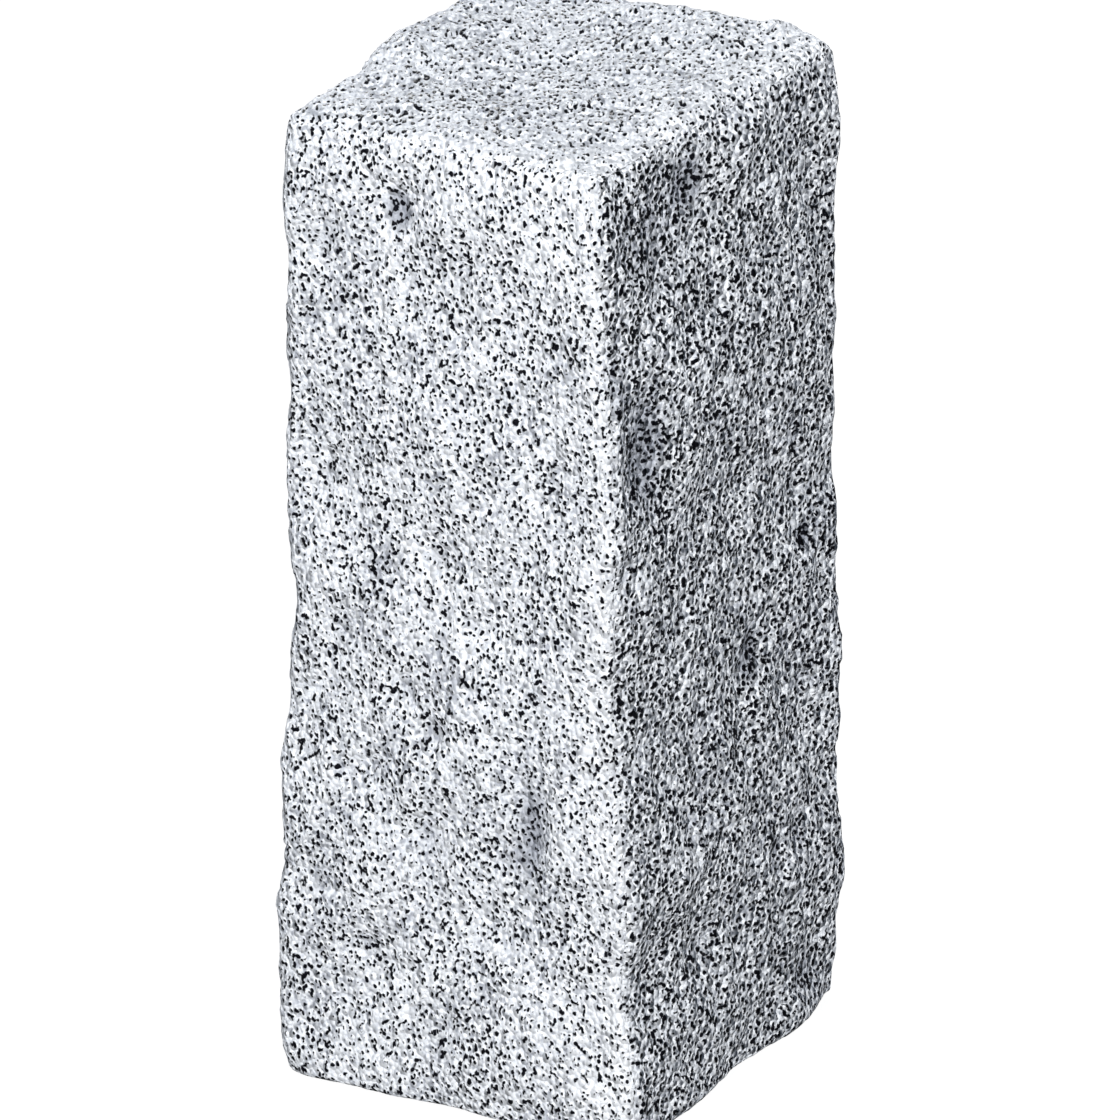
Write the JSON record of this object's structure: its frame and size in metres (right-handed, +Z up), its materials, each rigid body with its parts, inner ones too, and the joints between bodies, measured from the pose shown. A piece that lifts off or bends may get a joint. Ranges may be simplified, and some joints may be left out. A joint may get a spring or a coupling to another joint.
{
  "type": "granite palisade",
  "caption": "Short upright post of light grey granite, hewn on all faces with worn arrises and a flat dressed foot, set in rows to edge beds, paths and steps.",
  "frame": {"origin": "middle of the flat foot, at the level the stone stands on", "axes": "+Z up from the foot to the head, -Y out of the front, +X along the front to its right"},
  "size_m": [0.1036, 0.1124, 0.2538],
  "materials": {
    "granite": "hewn and hammered, dry, fine-grained light grey granite with black mica"
  },
  "bodies": {
    "root": {"palisade": "granite"}
  },
  "joints": []
}
